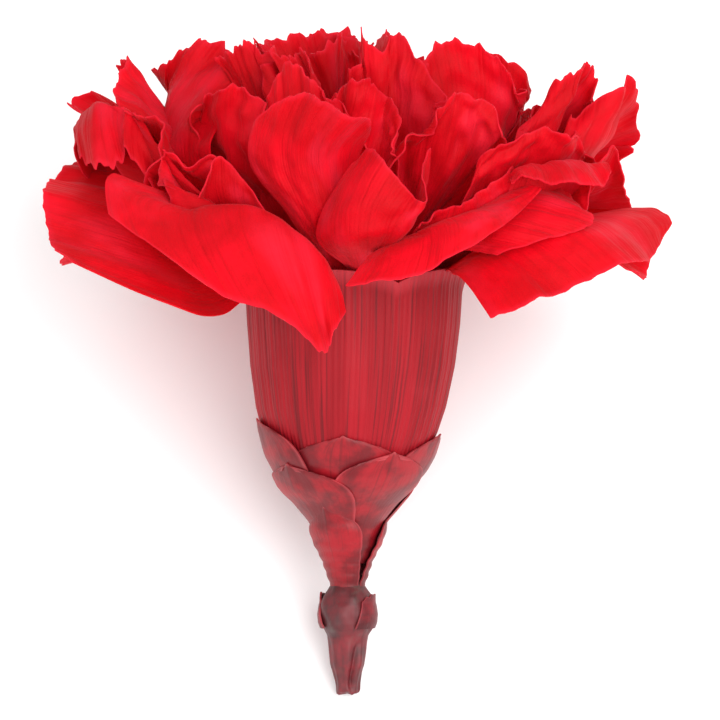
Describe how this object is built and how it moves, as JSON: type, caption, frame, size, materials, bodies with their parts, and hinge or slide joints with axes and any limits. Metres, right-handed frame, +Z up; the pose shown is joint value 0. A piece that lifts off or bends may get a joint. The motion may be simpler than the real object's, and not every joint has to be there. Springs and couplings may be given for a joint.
{
  "type": "cut carnation",
  "caption": "Preserved red carnation head with its calyx and a short cut stem, lying on its side: frilled petals, scale bracts and a swollen stem node.",
  "frame": {"origin": "on the surface it lies on, under the middle of its bounding box", "axes": "+Z up from the surface; +Y from the cut end of the stem towards the head; +X across the flower"},
  "size_m": [0.0604, 0.0618, 0.0463],
  "materials": {
    "petal": "velvety matte, finely veined, thin enough to glow",
    "calyx": "satin, finely ribbed lengthwise",
    "bract": "satin, pale edges",
    "leaf": "satin",
    "stem": "matte, patchy grey-green",
    "heart": "matte, smooth"
  },
  "bodies": {
    "root": {"stem": "stem", "leaf_stub_1": "leaf", "leaf_stub_2": "leaf", "bract_1": "bract", "bract_2": "bract", "bract_3": "bract", "bract_4": "bract", "bract_5": "bract", "bract_6": "bract", "bract_7": "bract", "bract_8": "bract", "bract_9": "bract", "bract_10": "bract", "calyx": "calyx", "ovary": "heart", "style_1": "heart", "style_2": "heart", "petal_01": "petal", "petal_02": "petal", "petal_03": "petal", "petal_04": "petal", "petal_05": "petal", "petal_06": "petal", "petal_07": "petal", "petal_08": "petal", "petal_09": "petal", "petal_10": "petal", "petal_11": "petal", "petal_12": "petal", "petal_13": "petal", "petal_14": "petal", "petal_15": "petal", "petal_16": "petal", "petal_17": "petal", "petal_18": "petal", "petal_19": "petal", "petal_20": "petal", "petal_21": "petal", "petal_22": "petal", "petal_23": "petal", "petal_24": "petal", "petal_25": "petal", "petal_26": "petal", "petal_27": "petal", "petal_28": "petal", "petal_29": "petal", "petal_30": "petal", "petal_31": "petal", "petal_32": "petal", "petal_33": "petal", "petal_34": "petal", "petal_35": "petal", "petal_36": "petal", "petal_37": "petal", "petal_38": "petal", "petal_39": "petal", "petal_40": "petal", "petal_41": "petal", "petal_42": "petal", "petal_43": "petal"}
  },
  "joints": []
}
